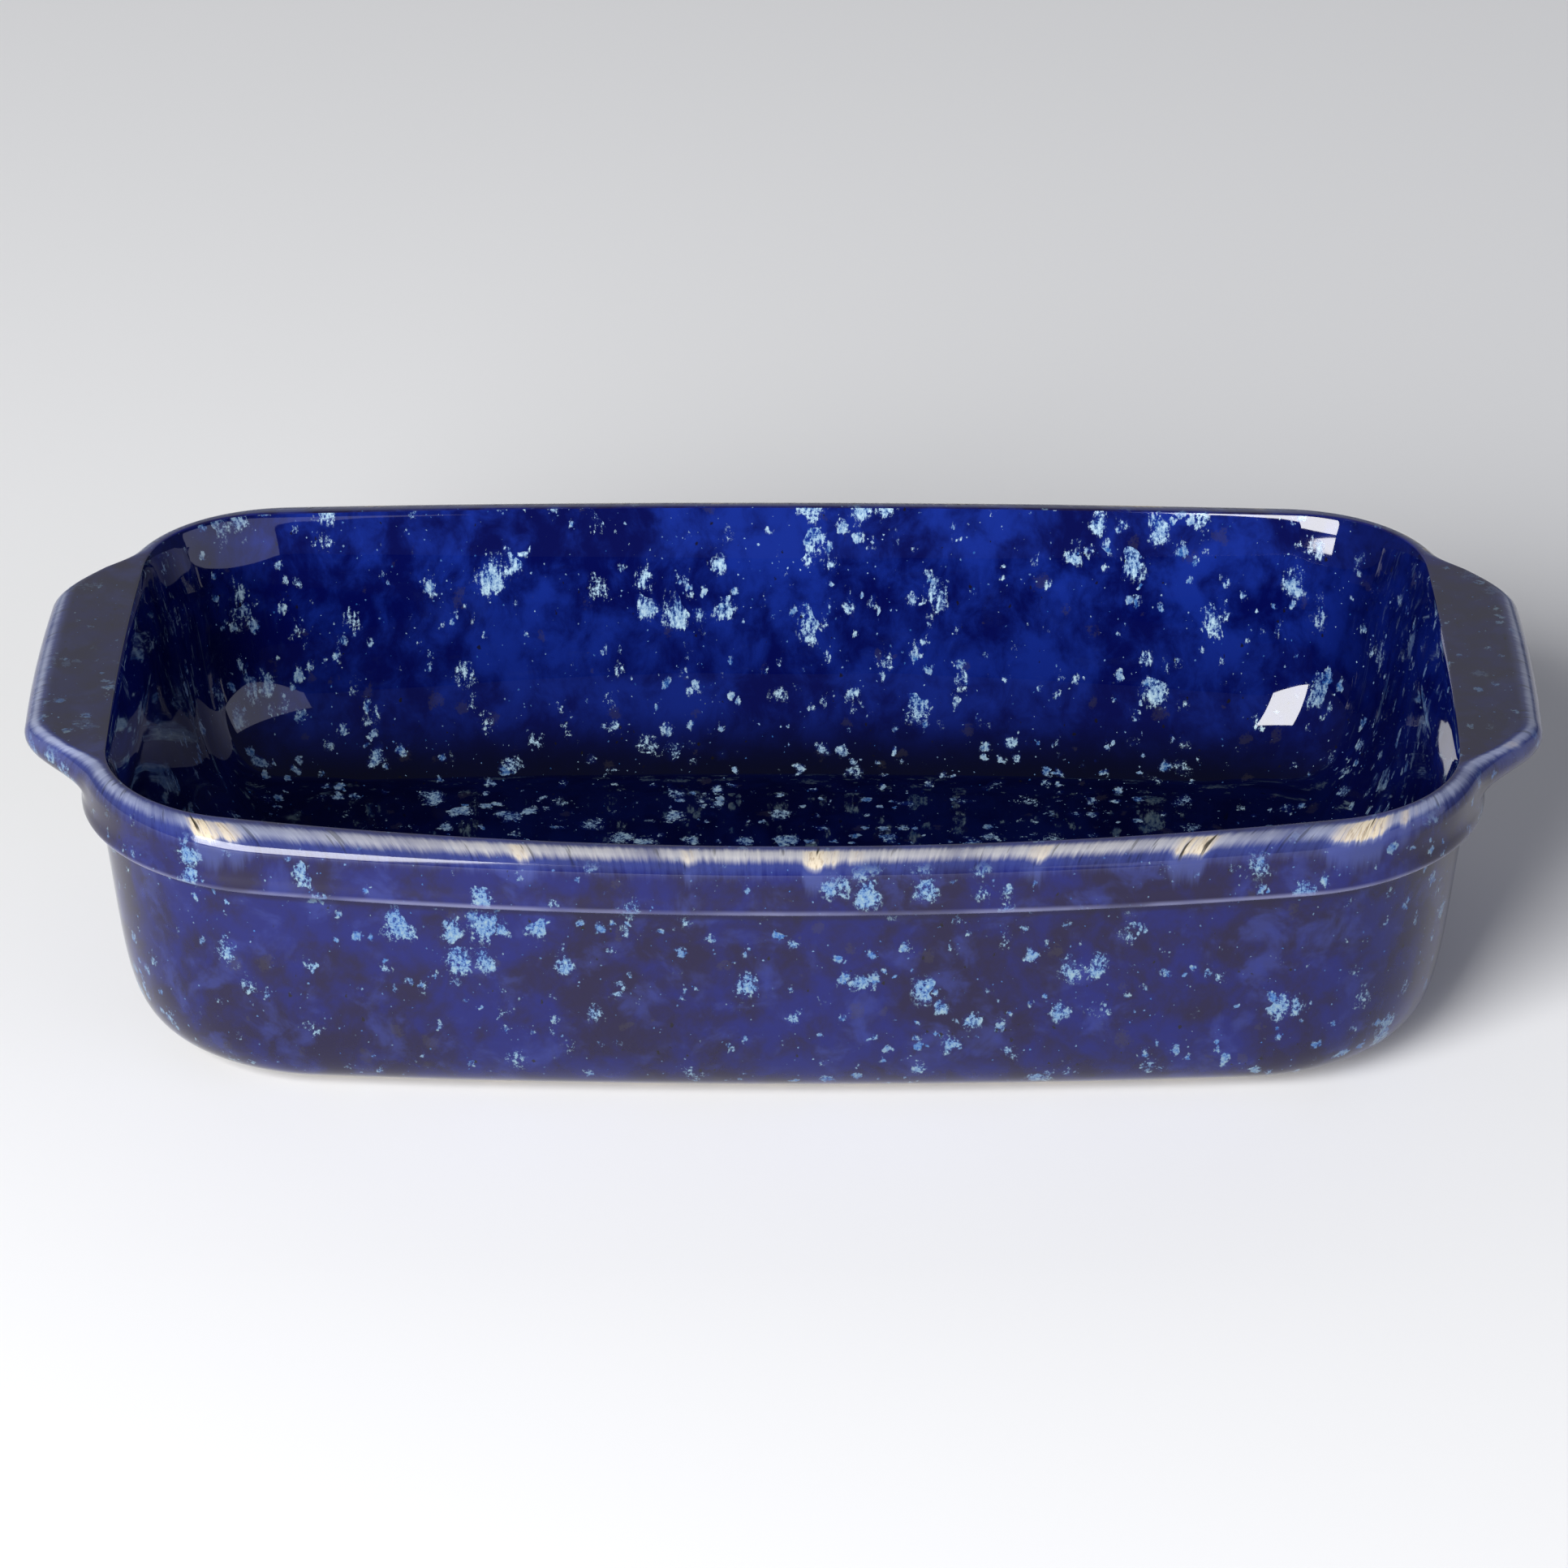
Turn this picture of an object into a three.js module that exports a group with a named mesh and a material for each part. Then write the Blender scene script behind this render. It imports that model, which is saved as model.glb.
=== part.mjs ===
import * as THREE from "three";

// A glazed stoneware loaf baker with a lug handle at each end.
// Millimetres, +Z up. The origin is on the table under the middle of the pan, and the
// handles point along X. A section through the wall is drawn as [inset, z]: the inset is
// measured inwards from the rim's outer edge, so a handle's outline has negative insets.

// Overall sizes
const LENGTH_OVER_HANDLES = 330;
const BODY_LENGTH = 305;
const BODY_WIDTH = 180.8;
const RIM_HEIGHT = 66.6; // at the middle of a long side
const RIM_RISE = 3.7; // how much higher the rim runs at the two ends
const GLAZE = 0.6;

// Foot and floor
const FOOT_HEIGHT = 2.8;
const FOOT_DRAFT = 0.6;
const FOOT_OUTER_INSET = 22.2;
const FOOT_INNER_INSET = 30;
const FLOOR_HEIGHT = 9;
const LEVEL_BELOW = 12; // sections under this height stay level from end to end

// Wall, shoulder and rim
const SHOULDER_HEIGHT = 52.2;
const SHOULDER_STEP = 3.25;
const COLLAR_HEIGHT = 56.4;
const RIM_HALF_THICKNESS = 4.5;
const RIM_ROUNDING = 6;
const CREST_INSET = 6.1;
const INNER_EDGE = [6.7, RIM_HEIGHT - 0.25];
const FLOOR_INSET = 42;

// Points of the section. A bend is a cubic curve: its ends and the two points it leans to.
const WALL_BEND = [[21.4, 2.5], [6, 2.5], [7.9, 25.6], [SHOULDER_STEP, SHOULDER_HEIGHT]];
const SHOULDER = [[1.7, SHOULDER_HEIGHT + 0.3], [0.3, SHOULDER_HEIGHT + 1.2], [0, SHOULDER_HEIGHT + 2.4]];
const COLLAR_FOOT = [0.15, COLLAR_HEIGHT];
const COLLAR = [[0.2, COLLAR_HEIGHT + 1.4], [0.15, COLLAR_HEIGHT + 2.8], [0.05, COLLAR_HEIGHT + 4.2]];
const ROUNDING_ANGLES = [0, 30, 58, 80];
const LIP = [[7.1, RIM_HEIGHT - 0.9], [7.7, RIM_HEIGHT - 2.4], [9.4, 59]];
const CAVITY_BEND = [[10.8, 53.5], [14, 36], [16, FLOOR_HEIGHT], [FLOOR_INSET, FLOOR_HEIGHT]];

// Plan of the body: corner radius, bow of a long side and bow of an end
const RIM_PLAN = { corner: 45, sideBow: 12.2, endBow: 6.4 };
const FOOT_PLAN = { corner: 37.7, sideBow: 6.5, endBow: 5.6 };
const MOUTH_PLAN = { corner: 31, sideBow: 13.2, endBow: 2.8 };
const FLOOR_PLAN = { corner: 24, sideBow: 7, endBow: 2.8 };

// Handles
const HANDLE_PROJECTION = (LENGTH_OVER_HANDLES - BODY_LENGTH) / 2;
const HANDLE_HALF_WIDTH = 29.5;
const HANDLE_FLANK = 25;
const HANDLE_TOE_INSET = -2.4; // where its underside leaves the fillet at the collar
const HANDLE_HEEL_INSET = -10.8; // where its underside turns up to the edge
const HANDLE_UNDERSIDE = RIM_HEIGHT - 2 * RIM_HALF_THICKNESS;

// How finely the surfaces are divided
const END_STEPS = [0, 0.4, 0.7, 0.87];
const CORNER_STEPS = [0, 0.06, 0.17, 0.34, 0.5, 0.66, 0.83];
const SIDE_STEPS = [0, 0.2, 0.4, 0.6, 0.8, 1];
const WALL_STEPS = 6;
const CAVITY_STEPS = 6;

const mixPlan = (low, high, share) => ({
  corner: low.corner + (high.corner - low.corner) * share,
  sideBow: low.sideBow + (high.sideBow - low.sideBow) * share,
  endBow: low.endBow + (high.endBow - low.endBow) * share,
});

function cubic(p0, p1, p2, p3, u) {
  const v = 1 - u;
  const weights = [v * v * v, 3 * v * v * u, 3 * v * u * u, u * u * u];
  const points = [p0, p1, p2, p3];
  return [0, 1].map((k) => points.reduce((sum, p, i) => sum + weights[i] * p[k], 0));
}

const bend = (steps, ...points) =>
  Array.from({ length: steps + 1 }, (_, i) => cubic(...points, i / steps));

// One quarter of a rounded rectangle with bowed sides: an end arc, a corner arc and a side
// arc, each tangent to the next, from the middle of the end to the middle of the side.
function quarterOutline(halfLength, halfWidth, { corner, sideBow, endBow }) {
  const sideRadius = (halfLength ** 2 + sideBow ** 2) / (2 * sideBow);
  const endRadius = (halfWidth ** 2 + endBow ** 2) / (2 * endBow);
  const sideCentre = new THREE.Vector2(0, halfWidth - sideRadius);
  const endCentre = new THREE.Vector2(halfLength - endRadius, 0);
  const between = endCentre.clone().sub(sideCentre);
  const span = between.length();
  const toSide = sideRadius - corner;
  const toEnd = endRadius - corner;
  const along = (toSide ** 2 - toEnd ** 2 + span ** 2) / (2 * span);
  const across = Math.sqrt(toSide ** 2 - along ** 2);
  const unit = between.divideScalar(span);
  const normal = new THREE.Vector2(unit.y, -unit.x);
  const cornerCentre = sideCentre.clone().addScaledVector(unit, along).addScaledVector(normal, across);
  const endAngle = cornerCentre.clone().sub(endCentre).angle();
  const sideAngle = cornerCentre.clone().sub(sideCentre).angle();
  const arc = (centre, radius, from, to, steps) =>
    steps.map((step) => {
      const angle = from + (to - from) * step;
      return [centre.x + radius * Math.cos(angle), centre.y + radius * Math.sin(angle)];
    });
  return [
    ...arc(endCentre, endRadius, 0, endAngle, END_STEPS),
    ...arc(cornerCentre, corner, endAngle, sideAngle, CORNER_STEPS),
    ...arc(sideCentre, sideRadius, sideAngle, Math.PI / 2, SIDE_STEPS),
  ];
}

function outline(inset, plan) {
  const quarter = quarterOutline(BODY_LENGTH / 2 - inset, BODY_WIDTH / 2 - inset, plan);
  const half = [...quarter, ...quarter.slice(0, -1).reverse().map(([x, y]) => [-x, y])];
  return [...half, ...half.slice(1, -1).reverse().map(([x, y]) => [x, -y])];
}

// How fully each point around the outline belongs to a handle, from 0 to 1
const handleShare = outline(0, RIM_PLAN).map(([, y]) =>
  1 - THREE.MathUtils.smoothstep(Math.abs(y), HANDLE_HALF_WIDTH, HANDLE_HALF_WIDTH + HANDLE_FLANK),
);

// A closed loop of points around the pan at one place in the section. Its height grows
// towards the ends of the pan, more so the nearer it is to the rim.
function loop(station, withHandles) {
  const [inset, height] = station.body;
  const [handleInset, handleHeight] = station.handle;
  return outline(inset, station.plan).map(([x, y], i) => {
    const share = withHandles ? handleShare[i] : 0;
    const z = height + (handleHeight - height) * share;
    const lift = Math.max(0, (z - LEVEL_BELOW) / (RIM_HEIGHT - LEVEL_BELOW));
    const out = Math.sign(x) * (inset - handleInset) * share;
    return [x + out, y, z + lift * RIM_RISE * (x / (BODY_LENGTH / 2)) ** 2];
  });
}

function bodyPlan(z) {
  const share = (z - FOOT_HEIGHT) / (SHOULDER_HEIGHT - FOOT_HEIGHT);
  return mixPlan(FOOT_PLAN, RIM_PLAN, THREE.MathUtils.clamp(share, 0, 1));
}

function cavityPlan(z) {
  return mixPlan(FLOOR_PLAN, MOUTH_PLAN, (z - FLOOR_HEIGHT) / (INNER_EDGE[1] - FLOOR_HEIGHT));
}

// The rim's own outline turns into the mouth's across its top
function rimPlan(inset) {
  return mixPlan(RIM_PLAN, MOUTH_PLAN, Math.max(0, inset / INNER_EDGE[0]));
}

const bodyStation = (body, handle = body) => ({ body, handle, plan: bodyPlan(body[1]) });
const rimStation = (body, handle = body) => ({ body, handle, plan: rimPlan(body[0]) });
const cavityStation = (body) => ({ body, handle: body, plan: cavityPlan(body[1]) });

// The outside of the glazed pan, from the edge of the glaze at the foot to the rim's inner edge
function outsideSection() {
  const widest = RIM_HEIGHT - RIM_HALF_THICKNESS;
  const rounding = ROUNDING_ANGLES.map((degrees) => {
    const angle = THREE.MathUtils.degToRad(degrees);
    const inset = RIM_ROUNDING * (1 - Math.cos(angle));
    const z = widest + RIM_HALF_THICKNESS * Math.sin(angle);
    return rimStation([inset, z], [inset - HANDLE_PROJECTION, z]);
  });
  const handleUnderside = [
    [HANDLE_TOE_INSET, HANDLE_UNDERSIDE - 0.2],
    [RIM_ROUNDING - HANDLE_PROJECTION, HANDLE_UNDERSIDE + 0.1],
    [HANDLE_HEEL_INSET, HANDLE_UNDERSIDE + 1.4],
  ];
  return [
    bodyStation([FOOT_OUTER_INSET, FOOT_HEIGHT - GLAZE]),
    ...bend(WALL_STEPS, ...WALL_BEND).map((point) => bodyStation(point)),
    ...SHOULDER.map((point) => bodyStation(point)),
    bodyStation(COLLAR_FOOT),
    ...COLLAR.map((point, i) => bodyStation(point, handleUnderside[i])),
    ...rounding,
    rimStation([CREST_INSET, RIM_HEIGHT]),
    rimStation(INNER_EDGE),
  ];
}

// The inside of the glazed pan, from the rim's inner edge down to the edge of the flat floor.
// It flares behind the collar and is steeper below it.
function insideSection() {
  return [INNER_EDGE, ...LIP, ...bend(CAVITY_STEPS, ...CAVITY_BEND)].map(cavityStation);
}

// The line that lies one coat of glaze under a section, on the clay
function underGlaze(section, key) {
  return section.map((station, i) => {
    const before = section[Math.max(i - 1, 0)][key];
    const after = section[Math.min(i + 1, section.length - 1)][key];
    const run = [after[0] - before[0], after[1] - before[1]];
    const length = Math.hypot(...run);
    return [
      station[key][0] + (run[1] / length) * GLAZE,
      station[key][1] - (run[0] / length) * GLAZE,
    ];
  });
}

function clayOutside(section) {
  const body = underGlaze(section, "body");
  const handle = underGlaze(section, "handle");
  const joined = (station) => station.body === station.handle;
  const clay = section.map((station, i) => ({
    plan: station.plan,
    body: body[i],
    handle: joined(station) ? body[i] : handle[i],
  }));
  const footEdge = [FOOT_OUTER_INSET, FOOT_HEIGHT];
  clay[0] = { plan: section[0].plan, body: footEdge, handle: footEdge };
  return clay;
}

function clayInside(section) {
  const clay = underGlaze(section, "body");
  clay[clay.length - 1] = [FLOOR_INSET, FLOOR_HEIGHT - GLAZE];
  return section.map(({ plan }, i) => ({ plan, body: clay[i], handle: clay[i] }));
}

// Collects triangles over shared points. A triangle with no area is left out, and two that
// lie back to back cancel each other.
class Skin {
  constructor() {
    this.points = [];
    this.known = new Map();
    this.faces = new Map();
    this.turned = false;
  }

  point(place) {
    const key = place.map((value) => value.toFixed(4)).join();
    if (!this.known.has(key)) {
      this.known.set(key, this.known.size);
      this.points.push(...place);
    }
    return this.known.get(key);
  }

  triangle(...corners) {
    const face = corners.map((corner) => this.point(corner));
    if (new Set(face).size < 3) return;
    const key = [...face].sort((a, b) => a - b).join();
    if (!this.faces.delete(key)) this.faces.set(key, this.turned ? face.reverse() : face);
  }

  // Faces between neighbouring loops, over all columns or a run of them
  band(loops, columns = [0, loops[0].length]) {
    for (let row = 0; row + 1 < loops.length; row += 1) {
      const [low, high] = [loops[row], loops[row + 1]];
      for (let i = columns[0]; i < columns[1]; i += 1) {
        const a = (i + low.length) % low.length;
        const b = (a + 1) % low.length;
        this.triangle(low[a], low[b], high[b]);
        this.triangle(low[a], high[b], high[a]);
      }
    }
  }

  // A flat disc of faces that closes a loop
  disc(edge, z) {
    edge.forEach((point, i) => this.triangle(point, edge[(i + 1) % edge.length], [0, 0, z]));
  }

  // Makes faces that look the other way, for the far side of a wall
  turn(make) {
    this.turned = true;
    make();
    this.turned = false;
  }

  mesh(name, material) {
    const geometry = new THREE.BufferGeometry();
    geometry.setAttribute("position", new THREE.Float32BufferAttribute(this.points, 3));
    geometry.setIndex([...this.faces.values()].flat());
    geometry.computeVertexNormals();
    const mesh = new THREE.Mesh(geometry, material);
    mesh.name = name;
    return mesh;
  }
}

const finish = (color, roughness) =>
  new THREE.MeshStandardMaterial({ color, roughness, metalness: 0 });

const outside = outsideSection();
const inside = insideSection();
const outsideClay = clayOutside(outside);
const insideClay = clayInside(inside);
insideClay[0] = outsideClay[outsideClay.length - 1];
inside[0] = outside[outside.length - 1];

const glazeLoops = outside.map((station) => loop(station, true));
const handleLoops = outsideClay.map((station) => loop(station, true));
const bodyLoops = outsideClay.map((station) => loop(station, false));
const linerLoops = inside.map((station) => loop(station, false));
const cavityLoops = insideClay.map((station) => loop(station, false));
const flat = (inset, z) => loop({ body: [inset, z], handle: [inset, z], plan: FOOT_PLAN }, false);

// Pressed clay body: floor, wall, shoulder, collar and rim
function basin() {
  const skin = new Skin();
  skin.band([...bodyLoops, ...cavityLoops.slice(1)]);
  skin.disc(cavityLoops[cavityLoops.length - 1], FLOOR_HEIGHT - GLAZE);
  const underside = [flat(FOOT_INNER_INSET, FOOT_HEIGHT), bodyLoops[0]];
  skin.band(underside);
  skin.turn(() => skin.disc(underside[0], FOOT_HEIGHT));
  return skin.mesh("basin", finish(0x8d8478, 0.85));
}

// Lug luted to the collar. Its two skins meet along the joint, so they close on each other.
function handle(name, columns) {
  const first = outside.findIndex(({ body, handle: lug }) => body !== lug) - 1;
  const last = outside.length - 1;
  const skin = new Skin();
  skin.band(handleLoops.slice(first, last), columns);
  skin.turn(() => skin.band(bodyLoops.slice(first, last), columns));
  return skin.mesh(name, finish(0x8d8478, 0.85));
}

// Low ring under the base, left bare of glaze where the pan stands
function footRing() {
  const [near, far] = [FOOT_OUTER_INSET, FOOT_INNER_INSET];
  const skin = new Skin();
  skin.band([
    flat(near, FOOT_HEIGHT),
    flat(far, FOOT_HEIGHT),
    flat(far, FOOT_HEIGHT - GLAZE),
    flat(far - FOOT_DRAFT, 0),
    flat(near + FOOT_DRAFT, 0),
    flat(near, FOOT_HEIGHT - GLAZE),
    flat(near, FOOT_HEIGHT),
  ]);
  return skin.mesh("foot_ring", finish(0x9a8f80, 0.9));
}

// Deep cobalt coat over the cavity, from the rim's inner edge down
function innerGlaze() {
  const skin = new Skin();
  skin.band(linerLoops);
  skin.disc(linerLoops[linerLoops.length - 1], FLOOR_HEIGHT);
  skin.turn(() => {
    skin.band([linerLoops[0], ...cavityLoops]);
    skin.disc(cavityLoops[cavityLoops.length - 1], FLOOR_HEIGHT - GLAZE);
  });
  return skin.mesh("inner_glaze", finish(0x0a1470, 0.08));
}

// Violet blue coat over the rim, the handles, the collar and the wall
function outerGlaze() {
  const skin = new Skin();
  const top = handleLoops[handleLoops.length - 1];
  skin.band([handleLoops[0], ...glazeLoops, top]);
  skin.turn(() => skin.band(handleLoops));
  return skin.mesh("outer_glaze", finish(0x3d3b78, 0.3));
}

// Thin coat under the floor, inside the foot ring
function baseGlaze() {
  const top = flat(FOOT_INNER_INSET, FOOT_HEIGHT);
  const bottom = flat(FOOT_INNER_INSET, FOOT_HEIGHT - GLAZE);
  const skin = new Skin();
  skin.band([bottom, top]);
  skin.disc(top, FOOT_HEIGHT);
  skin.turn(() => skin.disc(bottom, FOOT_HEIGHT - GLAZE));
  return skin.mesh("base_glaze", finish(0x3a3a66, 0.35));
}

const quarterTurn = handleShare.length / 4;
const reach = handleShare.findIndex((share) => share === 0);

const pan = new THREE.Group();
pan.add(
  basin(),
  handle("handle_right", [-reach, reach]),
  handle("handle_left", [2 * quarterTurn - reach, 2 * quarterTurn + reach]),
  footRing(),
  innerGlaze(),
  outerGlaze(),
  baseGlaze(),
);

export default pan;
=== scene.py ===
import math
from collections import namedtuple

import bmesh
import bpy
from mathutils import Matrix, Vector


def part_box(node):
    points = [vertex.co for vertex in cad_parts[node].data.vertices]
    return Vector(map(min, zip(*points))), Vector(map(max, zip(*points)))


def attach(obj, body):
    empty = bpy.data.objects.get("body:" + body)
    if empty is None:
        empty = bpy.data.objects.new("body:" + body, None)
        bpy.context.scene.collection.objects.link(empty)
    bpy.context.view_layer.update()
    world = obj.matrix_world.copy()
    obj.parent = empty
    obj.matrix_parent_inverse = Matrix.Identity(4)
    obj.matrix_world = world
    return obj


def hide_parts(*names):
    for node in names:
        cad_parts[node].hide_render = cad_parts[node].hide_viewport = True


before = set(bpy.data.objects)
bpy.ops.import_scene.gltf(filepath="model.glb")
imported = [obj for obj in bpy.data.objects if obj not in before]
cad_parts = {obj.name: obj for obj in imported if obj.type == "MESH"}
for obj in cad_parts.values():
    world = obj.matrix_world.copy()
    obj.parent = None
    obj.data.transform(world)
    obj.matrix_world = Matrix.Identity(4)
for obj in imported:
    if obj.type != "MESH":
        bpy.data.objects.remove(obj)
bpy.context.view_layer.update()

# A glazed stoneware loaf baker. Metres, +Z up, the handles along X. A section through the wall
# is a list of points, each an inset from the rim's outer edge and a height above the table.

MM = 0.001


def mm(*sizes):
    """Sizes given in millimetres."""
    return tuple(size * MM for size in sizes)


# Sizes that the frame gives
coat_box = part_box("outer_glaze")
LENGTH_OVER_HANDLES = 2 * coat_box[1].x
BODY_WIDTH = 2 * coat_box[1].y
FOOT_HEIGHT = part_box("foot_ring")[1].z
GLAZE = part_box("base_glaze")[1].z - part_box("base_glaze")[0].z

# The pan's own sizes
HANDLE_PROJECTION = 12.5 * MM
BODY_LENGTH = LENGTH_OVER_HANDLES - 2 * HANDLE_PROJECTION
RIM_HEIGHT = 66.6 * MM
RIM_RISE = 3.7 * MM  # from the middle of a side to the ends
LEVEL_BELOW = 12 * MM  # the height under which nothing rises toward the ends
FOOT_OUTER_INSET = 22.2 * MM
FOOT_INNER_INSET = 30 * MM
FOOT_DRAFT = 0.6 * MM
FOOT_EDGE_ROUNDING = 0.7 * MM
FLOOR_HEIGHT = 9 * MM
FLOOR_INSET = 42 * MM
SHOULDER_HEIGHT = 52.2 * MM
SHOULDER_STEP = 3.25 * MM
COLLAR_HEIGHT = 56.4 * MM
RIM_HALF_THICKNESS = 4.5 * MM
RIM_ROUNDING = 6 * MM
HANDLE_HALF_WIDTH = 29.5 * MM
HANDLE_FLANK = 25 * MM
RIM_WIDEST = RIM_HEIGHT - RIM_HALF_THICKNESS
HANDLE_UNDERSIDE = RIM_HEIGHT - 2 * RIM_HALF_THICKNESS

# Plan of the pan: corner radius, bow of a long side, bow of an end
RIM_PLAN = mm(45, 12.2, 6.4)
FOOT_PLAN = mm(37.7, 6.5, 5.6)
MOUTH_PLAN = mm(31, 13.2, 2.8)
FLOOR_PLAN = mm(24, 7, 2.8)

# Points where one bend of the section ends and the next begins
GLAZE_EDGE = (FOOT_OUTER_INSET, FOOT_HEIGHT - GLAZE)
WALL_BASE = mm(21.4, 2.5)
WALL_TOP = (SHOULDER_STEP, SHOULDER_HEIGHT)
TUCK = (2.4 * MM, SHOULDER_HEIGHT + 0.3 * MM)
BEAD = (0.0, SHOULDER_HEIGHT + 2.2 * MM)
COLLAR_FOOT = (0.15 * MM, COLLAR_HEIGHT)
COLLAR_TOP = (0.0, RIM_WIDEST)
FILLET_END = (RIM_ROUNDING - HANDLE_PROJECTION, HANDLE_UNDERSIDE)
HANDLE_TIP = (-HANDLE_PROJECTION, RIM_WIDEST)
CREST = (6.1 * MM, RIM_HEIGHT)
INNER_EDGE = (6.7 * MM, RIM_HEIGHT - 0.25 * MM)
LIP = (7.7 * MM, RIM_HEIGHT - 2.4 * MM)
FLARE = mm(10.8, 53.5)
FLOOR_EDGE = (FLOOR_INSET, FLOOR_HEIGHT)

# Bends of the section: the two points that pull each one, its end, and its number of steps
QUARTER_PULL = 0.5523  # how far along a radius the pull of a quarter turn lies
TIP_PULLS = ((FILLET_END[0] - RIM_ROUNDING * QUARTER_PULL, HANDLE_UNDERSIDE),
             (HANDLE_TIP[0], RIM_WIDEST - RIM_HALF_THICKNESS * QUARTER_PULL))
WALL_BENDS = ((GLAZE_EDGE, WALL_BASE, WALL_BASE, 2),
              (mm(6, 2.5), mm(7.9, 25.6), WALL_TOP, 34))
SHOULDER_BENDS = ((mm(3.3, 51.9), mm(3.2, 52.3), TUCK, 5),
                  (mm(0.9, 52.7), mm(0, 53.2), BEAD, 8),
                  (mm(0, 55.4), mm(0.1, 55.9), COLLAR_FOOT, 3))
HANDLE_BENDS = ((mm(0, 57.4), (-2.2 * MM, HANDLE_UNDERSIDE), FILLET_END, 10),
                (*TIP_PULLS, HANDLE_TIP, 9))
HANDLE_STEPS = sum(bend[-1] for bend in HANDLE_BENDS)
COLLAR_BENDS = ((mm(0.3, 58), mm(0.1, 60), COLLAR_TOP, HANDLE_STEPS),)
CREST_BENDS = (((6.4 * MM, RIM_HEIGHT), (6.6 * MM, RIM_HEIGHT - 0.1 * MM), INNER_EDGE, 3),)
CAVITY_BENDS = ((mm(6.95, 66), mm(7.35, 65.3), LIP, 5),
                (mm(8.6, 61), mm(10, 57), FLARE, 8),
                (mm(14, 36), (16 * MM, FLOOR_HEIGHT), FLOOR_EDGE, 36))
ROUNDING_STEPS = 14  # over the rim's outer edge
DRIP_LINE_STEP = 6  # of those, the one that runs of glaze are measured from
DISC_STEPS = 8  # rings across a flat floor
FOOT_STEPS = 6  # round each edge of the foot ring

# An outline is four quarters of three arcs: half an end, a corner, half a side
ARC_STEPS = 27
ARCS_PER_QUARTER = 3
ALL_COLUMNS = 4 * ARCS_PER_QUARTER * ARC_STEPS
WELD = MM / 1000
WHOLE_NUMBER_SLACK = 1e-4  # keeps a whole number from being rounded down to the one before
SHARPEST_SMOOTH_EDGE = math.radians(42)


# ---------------------------------------------------------------- node trees

class Wire:
    """One output in a node tree. Arithmetic on it adds the tree's Math nodes."""

    def __init__(self, tree, socket):
        self.tree = tree
        self.socket = socket

    def math(self, operation, *values):
        return self.tree.add("ShaderNodeMath", {"operation": operation}, dict(enumerate(values)))

    def __add__(self, other):
        return self.math("ADD", self, other)

    def __sub__(self, other):
        return self.math("SUBTRACT", self, other)

    def __rsub__(self, other):
        return self.math("SUBTRACT", other, self)

    def __mul__(self, other):
        return self.math("MULTIPLY", self, other)

    def __truediv__(self, other):
        return self.math("DIVIDE", self, other)

    def __pow__(self, other):
        return self.math("POWER", self, other)

    def __lt__(self, other):
        return self.math("LESS_THAN", self, other)

    def __gt__(self, other):
        return self.math("GREATER_THAN", self, other)

    __radd__ = __add__
    __rmul__ = __mul__

    def size(self):
        return self.math("ABSOLUTE", self)

    def floor(self):
        return self.math("FLOOR", self)

    def at_least(self, low):
        return self.math("MAXIMUM", self, low)

    def at_most(self, high):
        return self.math("MINIMUM", self, high)

    def ramp(self, low, high):
        """0 up to low, 1 from high, and smooth between them. It falls when low is the larger."""
        settings = {"interpolation_type": "SMOOTHSTEP"}
        values = {"Value": self, "From Min": min(low, high), "From Max": max(low, high)}
        rise = self.tree.add("ShaderNodeMapRange", settings, values)
        return 1 - rise if high < low else rise

    def toward(self, other, share):
        """This value where share is 0, the other where it is 1."""
        return self * (1 - share) + other * share

    def vector(self, operation, *others, **named):
        values = {**dict(enumerate((self, *others))), **named}
        return self.tree.add("ShaderNodeVectorMath", {"operation": operation}, values)

    def parts(self):
        """The x, y and z of a vector."""
        return self.tree.outputs("ShaderNodeSeparateXYZ", {}, {0: self}, range(3))


def worked(operation, on_numbers, *values):
    """One step of maths, on wires or on plain numbers."""
    wires = [v for v in values if isinstance(v, Wire)]
    return wires[0].math(operation, *values) if wires else on_numbers(*values)


def root(value):
    return worked("SQRT", math.sqrt, value)


def sine(angle):
    return worked("SINE", math.sin, angle)


def cosine(angle):
    return worked("COSINE", math.cos, angle)


def bearing(y, x):
    return worked("ARCTAN2", math.atan2, y, x)


def clip(value):
    """The value, kept from 0 to 1."""
    return worked("MINIMUM", min, worked("MAXIMUM", max, value, 0), 1)


class Tree:
    """A node tree that nodes are added to."""

    def __init__(self, tree):
        self.tree = tree

    def node(self, kind, settings=None, values=None):
        node = self.tree.nodes.new(kind)
        for name, value in (settings or {}).items():
            setattr(node, name, value)
        for key, value in (values or {}).items():
            if isinstance(value, Wire):
                self.tree.links.new(value.socket, node.inputs[key])
            else:
                node.inputs[key].default_value = value
        return node

    def add(self, kind, settings=None, values=None, out=0):
        return Wire(self, self.node(kind, settings, values).outputs[out])

    def outputs(self, kind, settings, values, wanted):
        """Several outputs of one node."""
        node = self.node(kind, settings, values)
        return [Wire(self, node.outputs[k]) for k in wanted]

    def pack(self, x, y, z):
        return self.add("ShaderNodeCombineXYZ", {}, {0: x, 1: y, 2: z})

    def mix(self, share, first, second):
        """A colour between two colours, which are the node's sockets 6 and 7."""
        return self.add("ShaderNodeMix", {"data_type": "RGBA"}, {0: share, 6: first, 7: second}, 2)


# ---------------------------------------------------------------- sections

def cubic(p0, p1, p2, p3, steps):
    """Points along a cubic bend, with its first point left out."""
    made = []
    for i in range(1, steps + 1):
        u = i / steps
        v = 1 - u
        weights = (v ** 3, 3 * v * v * u, 3 * v * u * u, u ** 3)
        made.append(tuple(sum(w * p[k] for w, p in zip(weights, (p0, p1, p2, p3))) for k in (0, 1)))
    return made


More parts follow.
